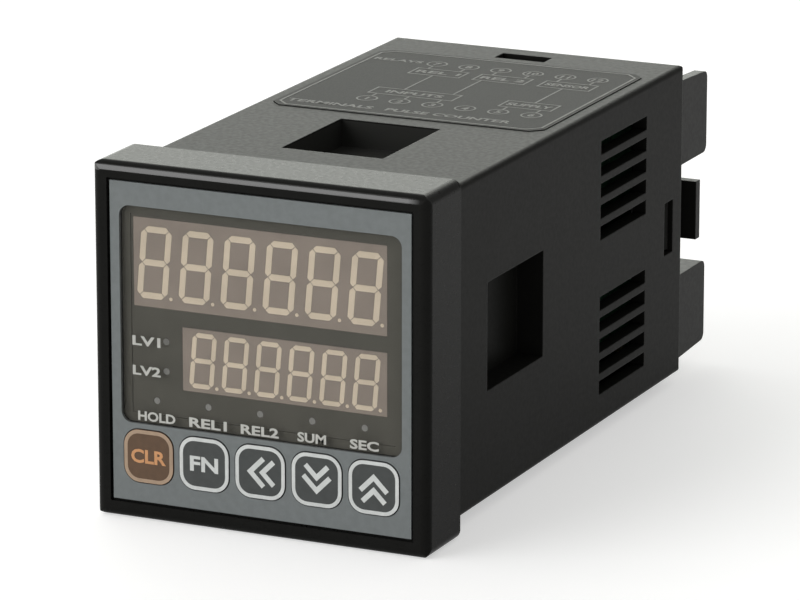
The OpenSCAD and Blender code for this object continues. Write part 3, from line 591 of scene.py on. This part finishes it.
class Drawing:
    """Flat marks in one plane, gathered into one thin mesh."""

    def __init__(self):
        self.mesh = bmesh.new()

    def band(self, points, width, closed=False):
        """Line of one width along points, with mitred corners."""
        points = [Vector(p) for p in points]
        count = len(points)
        rows = []
        for k, point in enumerate(points):
            before = points[k - 1] if closed or k else None
            after = points[(k + 1) % count] if closed or k < count - 1 else None
            rows.append(self.corners(point, corner_offset(before, point, after) * width / 2))
        for k in range(count if closed else count - 1):
            self.join(rows[k], rows[(k + 1) % count])
        if not closed:
            first, last = rows[0], rows[-1]
            self.mesh.faces.new((first[0], first[1], first[3], first[2]))
            self.mesh.faces.new((last[0], last[2], last[3], last[1]))

    def corners(self, point, offset):
        """Four corners of a line's section: low left, low right, high left, high right."""
        sides = (point + offset, point - offset)
        return [self.mesh.verts.new((p.x, p.y, h)) for h in (0, INK_T) for p in sides]

    def join(self, a, b):
        """Walls of a line between two of its sections."""
        for i, j in ((0, 1), (1, 3), (3, 2), (2, 0)):
            self.mesh.faces.new((a[i], b[i], b[j], a[j]))

    def area(self, points, height):
        """Filled outline of one height."""
        low = [self.mesh.verts.new((x, y, 0)) for x, y in points]
        high = [self.mesh.verts.new((x, y, height)) for x, y in points]
        self.mesh.faces.new(list(reversed(low)))
        self.mesh.faces.new(high)
        for k in range(len(points)):
            n = (k + 1) % len(points)
            self.mesh.faces.new((low[k], low[n], high[n], high[k]))

    def text(self, words, at, height, width=None):
        """Words of a set height about a point, as wide as the font has them or of a set width."""
        mesh = text_mesh(words)
        low = [min(v.co[i] for v in mesh.vertices) for i in range(3)]
        high = [max(v.co[i] for v in mesh.vertices) for i in range(3)]
        spans = [b - a for a, b in zip(low, high)]
        sizes = (width or spans[0] * height / spans[1], height, INK_T)
        middle = [(low[0] + high[0]) / 2, (low[1] + high[1]) / 2, low[2]]
        place = (at[0], at[1], 0)
        for v in mesh.vertices:
            v.co = [place[i] + (v.co[i] - middle[i]) * sizes[i] / spans[i] for i in range(3)]
        self.mesh.from_mesh(mesh)
        bpy.data.meshes.remove(mesh)

    def piece(self, name, plane, at, body, slot, material):
        """Turns the marks into a piece that lies on a plane through a point and rides on a body."""
        bmesh.ops.remove_doubles(self.mesh, verts=self.mesh.verts, dist=WELD_REACH)
        bmesh.ops.recalc_face_normals(self.mesh, faces=self.mesh.faces)
        sink = Matrix.Translation((0, 0, -INK_SINK))
        self.mesh.transform(Matrix.Translation(at) @ plane @ sink)
        mesh = bpy.data.meshes.new(name)
        self.mesh.to_mesh(mesh)
        self.mesh.free()
        mesh.materials.append(material)
        obj = add_object(name, mesh)
        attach(obj, body)
        return obj


def corner_offset(before, point, after):
    """Sideways direction at a point of a line, longer where the line turns."""
    legs = ((before, point), (point, after))
    ways = [(b - a).normalized() for a, b in legs if a is not None and b is not None]
    sides = [Vector((-w.y, w.x)) for w in ways]
    total = sides[0] + sides[-1]
    return 2 * total / total.length_squared


def text_mesh(words):
    """Mesh of words in the built-in font, lying in the XY plane."""
    curve = bpy.data.curves.new("words", "FONT")
    curve.body = words
    curve.extrude = TEXT_DEPTH
    curve.offset = TEXT_WEIGHT
    curve.resolution_u = TEXT_STEPS
    obj = add_object("words", curve)
    graph = bpy.context.evaluated_depsgraph_get()
    mesh = bpy.data.meshes.new_from_object(obj.evaluated_get(graph), depsgraph=graph)
    bpy.data.objects.remove(obj)
    bpy.data.curves.remove(curve)
    return mesh


def arc(middle, radius, start, end, steps):
    """Points on an arc, angles in degrees."""
    angles = [math.radians(start + (end - start) * k / steps) for k in range(steps + 1)]
    return [(middle[0] + radius * math.cos(a), middle[1] + radius * math.sin(a)) for a in angles]


def circle(middle, radius):
    """Points on a full circle."""
    return arc(middle, radius, 0, 360, CIRCLE_STEPS)[:-1]


def round_rect(width, height, radius):
    """Points on a rectangle with round corners, about the origin."""
    reach_x, reach_y = width / 2 - radius, height / 2 - radius
    points = []
    for k, (x, y) in enumerate(((1, 1), (-1, 1), (-1, -1), (1, -1))):
        points += arc((x * reach_x, y * reach_y), radius, 90 * k, 90 * (k + 1), ARC_STEPS)
    return points


def turned(points, degrees):
    """Points turned about the origin."""
    a = math.radians(degrees)
    return [(x * math.cos(a) - y * math.sin(a), x * math.sin(a) + y * math.cos(a)) for x, y in points]


def middle_of(node):
    """Middle of a node's box."""
    low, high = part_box(node)
    return (low + high) / 2


def key_front(key):
    """Middle of a key cap's front face."""
    middle = middle_of(key + "_key")
    return Vector((middle.x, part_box(key + "_key")[0].y, middle.z))


def key_piece(drawing, key, name, material):
    """Turns marks into a piece on the front of a key cap."""
    slot = "brown_key" if key == "reset" else "dark_key"
    drawing.piece(key + name, FRONT, key_front(key), key + "_button", slot, material)


def key_ring(key, material):
    """Printed ring round the front of a key cap."""
    drawing = Drawing()
    inset = RING_INSET + RING_W / 2
    width = CAP_W - 2 * inset
    drawing.band(round_rect(width, width, CAP_R - inset), RING_W, closed=True)
    key_piece(drawing, key, "_ring", material)


def key_legend(key, material):
    """Printed word or double arrow on a key cap."""
    drawing = Drawing()
    if key in KEY_WORDS:
        words, width, height = KEY_WORDS[key]
        drawing.text(words, (0, 0), height, width)
    else:
        for k, reach in enumerate(CHEVRON_REACH):
            tip = CHEVRON_LEAD - k * CHEVRON_PITCH
            points = ((-reach, tip - reach), (0, tip), (reach, tip - reach))
            drawing.band(turned(points, KEY_TURNS[key]), CHEVRON_W)
    key_piece(drawing, key, "_legend", material)


def print_keys():
    """Rings and legends of the five keys."""
    white, tan, orange = ink("white_ink"), ink("tan_ink"), ink("orange_ink")
    for key in KEYS:
        key_ring(key, tan if key == "reset" else white)
        key_legend(key, orange if key == "reset" else white)


def add_window():
    """Smoked window, a hair clear of the ledge that it rests on."""
    low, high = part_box("display_window")
    size = high - low
    middle = middle_of("display_window")
    back = high.y - PANE_GAP
    drawing = Drawing()
    drawing.area(round_rect(size.x, size.z, PANE_R), back - low.y)
    material = frame["nodes"]["display_window"].material_slots[0].material
    at = (middle.x, back - INK_SINK, middle.z)
    pane = drawing.piece("window_pane", FRONT, at, "housing", "smoked_window", material)
    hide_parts("display_window")


def print_label(name, words, at, material):
    """Words about a point of the window's front."""
    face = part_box("display_window")[0].y
    drawing = Drawing()
    drawing.text(words, at, LABEL_H, len(words) * LABEL_PITCH * LABEL_H)
    drawing.piece(name, FRONT, (0, face, 0), "housing", "smoked_window", material)


def print_lamp_labels():
    """Names of the lamps on the front of the window."""
    material = ink("label_ink")
    low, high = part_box("indicator_lamps")
    half = LAMP_BODY_W / 2
    first, last = low.x + half, high.x - half
    row_z = low.z + half - ROW_LABEL_DROP
    for k, words in enumerate(ROW_LABELS):
        x = first + (last - first) * k / (len(ROW_LABELS) - 1) + ROW_LABEL_SHIFT
        print_label("lamp_label_%d" % (k + 1), words, (x, row_z), material)
    side_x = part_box("lower_display")[0].x - LAMP_SIDE_GAP - SIDE_LABEL_GAP
    for k, words in enumerate(SIDE_LABELS):
        z = high.z - half - k * LAMP_SIDE_PITCH
        print_label("side_label_%d" % (k + 1), words, (side_x, z), material)


def field_outline(inset):
    """Outline of the marking field with cut corners, moved inwards."""
    low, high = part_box("case")
    x0, x1 = low.x + FIELD_SIDE + inset, high.x - FIELD_SIDE - inset
    y0, y1 = FIELD_FRONT + inset, high.y - FIELD_REAR - inset
    c = FIELD_CUT
    return [(x0, y0 + c), (x0 + c, y0), (x1 - c, y0), (x1, y0 + c),
            (x1, y1 - c), (x1 - c, y1), (x0 + c, y1), (x0, y1 - c)]


def top_piece(drawing, name, z, material):
    """Turns marks into a piece at one height on the top of the case."""
    drawing.piece(name, TOP, (0, 0, z), "housing", "case_plastic", material)


def add_marking_plate():
    """Thin dark plate with a border line and a wiring diagram."""
    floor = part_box("case")[1].z - FIELD_DEPTH
    plate_t = FIELD_DEPTH + PLATE_RISE
    plate = Drawing()
    plate.area(field_outline(FIELD_GAP), plate_t)
    top_piece(plate, "marking_plate", floor, plate_finish())
    top = floor + plate_t - INK_SINK
    grey = ink("grey_ink", rough=0.46, specular=0.05)
    border = Drawing()
    border.band(field_outline(BORDER_INSET), BORDER_W, closed=True)
    top_piece(border, "marking_border", top, grey)
    diagram = Drawing()
    draw_diagram(diagram)
    top_piece(diagram, "marking_diagram", top, grey)


def draw_diagram(diagram):
    """Terminals, boxes, links between the rows of boxes, and words."""
    draw_terminals(diagram)
    for box in DIAGRAM_BOXES:
        draw_box(diagram, *box)
    for x in DIAGRAM_LINKS:
        diagram.band([(x, box_edges(row)[1]) for row in range(len(DIAGRAM_ROWS))], DIAGRAM_LINE)
    for words, at, height in DIAGRAM_WORDS:
        diagram.text(words, at, height, word_width(words, height))


def word_width(words, height):
    """Width of words of the diagram in letters of one height."""
    return len(words) * DIAGRAM_WORD_PITCH * height


def terminal_x(k):
    """Place of a terminal of the diagram across the part."""
    return DIAGRAM_FIRST + k * DIAGRAM_PITCH


def row_side(row):
    """Way from a row of terminals to its boxes, which lie between the two rows."""
    return -1 if row else 1


def box_edges(row):
    """Near and far edge of the boxes that a row of terminals leads to."""
    near = DIAGRAM_ROWS[row] + row_side(row) * (TERMINAL_R + LEAD_L)
    return near, near + row_side(row) * BOX_D


def draw_terminals(diagram):
    """Two rows of numbered circles."""
    for row, y in enumerate(DIAGRAM_ROWS):
        for k in range(BAYS):
            at = (terminal_x(k), y)
            diagram.band(circle(at, TERMINAL_R), DIAGRAM_LINE, closed=True)
            diagram.text(terminal_number(row, k), at, DIGIT_H)


def terminal_number(row, k):
    """Number of a terminal, counted from 1 through both rows."""
    return str(row * BAYS + k + 1)


def draw_box(diagram, words, row, first, last):
    """Box with a word and leads from its terminals."""
    near, far = box_edges(row)
    x0, x1 = terminal_x(first) - TERMINAL_R, terminal_x(last) + TERMINAL_R
    diagram.band([(x0, near), (x1, near), (x1, far), (x0, far)], DIAGRAM_LINE, closed=True)
    middle = ((x0 + x1) / 2, (near + far) / 2)
    width = min(word_width(words, BOX_WORD_H), x1 - x0 - 2 * BOX_WORD_GAP)
    diagram.text(words, middle, BOX_WORD_H, width)
    start = DIAGRAM_ROWS[row] + row_side(row) * TERMINAL_R
    for k in range(first, last + 1):
        diagram.band([(terminal_x(k), start), (terminal_x(k), near)], DIAGRAM_LINE)


def print_terminal_numbers():
    """Plain numbers of the terminals on the rear cover, between the strips."""
    material = ink("number_ink")
    low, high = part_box("upper_terminal_strip")
    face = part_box("case")[1].y
    pitch = (high.x - low.x - 2 * STRIP_END_T + BARRIER_T) / BAYS
    lower_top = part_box("lower_terminal_strip")[1].z
    drawing = Drawing()
    for row, z in enumerate((low.z - NUMBER_GAP, lower_top + NUMBER_GAP)):
        for k in range(BAYS):
            at = ((k - (BAYS - 1) / 2) * pitch, z)
            drawing.text(terminal_number(row, k), at, NUMBER_H)
    drawing.piece("terminal_numbers", REAR, (0, face, 0), "housing", "terminal_plastic", material)


def floor_finish():
    """Matt and pale, and lifted towards white for what is seen of it straight, mirrored or through glass."""
    material = bpy.data.materials.new("floor")
    material.use_nodes = True
    tree = material.node_tree
    rays = tree.nodes.new("ShaderNodeLightPath").outputs
    seen = rays["Is Camera Ray"]
    for name in ("Is Glossy Ray", "Is Transmission Ray"):
        seen = calculate(tree, "MAXIMUM", seen, rays[name])
    fill(tree, tree.nodes["Principled BSDF"], {
        "Base Color": FLOOR_TONE,
        "Roughness": 1,
        "Specular IOR Level": 0,
        "Emission Color": FLOOR_LIGHT,
        "Emission Strength": calculate(tree, "MULTIPLY", seen, FLOOR_LIFT),
    })
    return material


def add_floor():
    """Pale floor under the part, which keeps the part's shadow."""
    mesh = bpy.data.meshes.new("floor")
    z = cad_bounds[0][2]
    corners = [(x * FLOOR_HALF, y * FLOOR_HALF, z) for x, y in ((-1, -1), (1, -1), (1, 1), (-1, 1))]
    mesh.from_pydata(corners, [], [range(4)])
    mesh.materials.append(floor_finish())
    floor = add_object("floor", mesh)


def add_world():
    """Soft surround, brightest behind the part to the left."""
    world = bpy.data.worlds.new("surround")
    world.use_nodes = True
    tree = world.node_tree
    space = tree.nodes.new("ShaderNodeTexCoord").outputs["Generated"]
    share = tree.nodes.new("ShaderNodeVectorMath")
    share.operation = "DOT_PRODUCT"
    fill(tree, share, {0: space, 1: WORLD_TOWARDS})
    spread = map_range(tree, share.outputs["Value"], WORLD_EDGE, *WORLD_STRENGTH)
    spread.interpolation_type = "SMOOTHSTEP"
    fill(tree, tree.nodes["Background"], {"Color": WORLD_TINT, "Strength": spread.outputs["Result"]})
    bpy.context.scene.world = world


def add_lamp(name, towards, strength, spread, tint):
    """Even soft light from one side."""
    data = bpy.data.lights.new(name, "SUN")
    data.energy = strength
    data.angle = spread
    data.color = tint
    light = add_object(name, data)
    light.rotation_euler = Vector(towards).to_track_quat("Z", "Y").to_euler()


def add_camera():
    """Camera at the photograph's place, aimed beside the middle of the front."""
    level = math.cos(ELEVATION)
    back = Vector((math.sin(AZIMUTH) * level, -math.cos(AZIMUTH) * level, math.sin(ELEVATION)))
    right = Vector((0, 0, 1)).cross(back).normalized()
    up = back.cross(right)
    middle = Vector((0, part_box("bezel")[0].y, 0))
    data = bpy.data.cameras.new("camera")
    data.sensor_width = SENSOR_W
    data.sensor_fit = "HORIZONTAL"
    data.lens = SENSOR_W * FOCAL_PIXELS / IMAGE_W
    data.clip_start = CLIP_START
    camera = add_object("camera", data)
    turn = Matrix((right, up, back)).transposed().to_4x4()
    place = middle + AIM_RIGHT * right + AIM_UP * up + DISTANCE * back
    camera.matrix_world = Matrix.Translation(place) @ turn
    bpy.context.scene.camera = camera


dress_nodes()
add_window()
print_keys()
print_lamp_labels()
add_marking_plate()
print_terminal_numbers()
add_floor()
add_world()
for lamp in LAMPS:
    add_lamp(*lamp)
add_camera()
bpy.context.scene.view_settings.view_transform = "Standard"

bpy.context.view_layer.update()
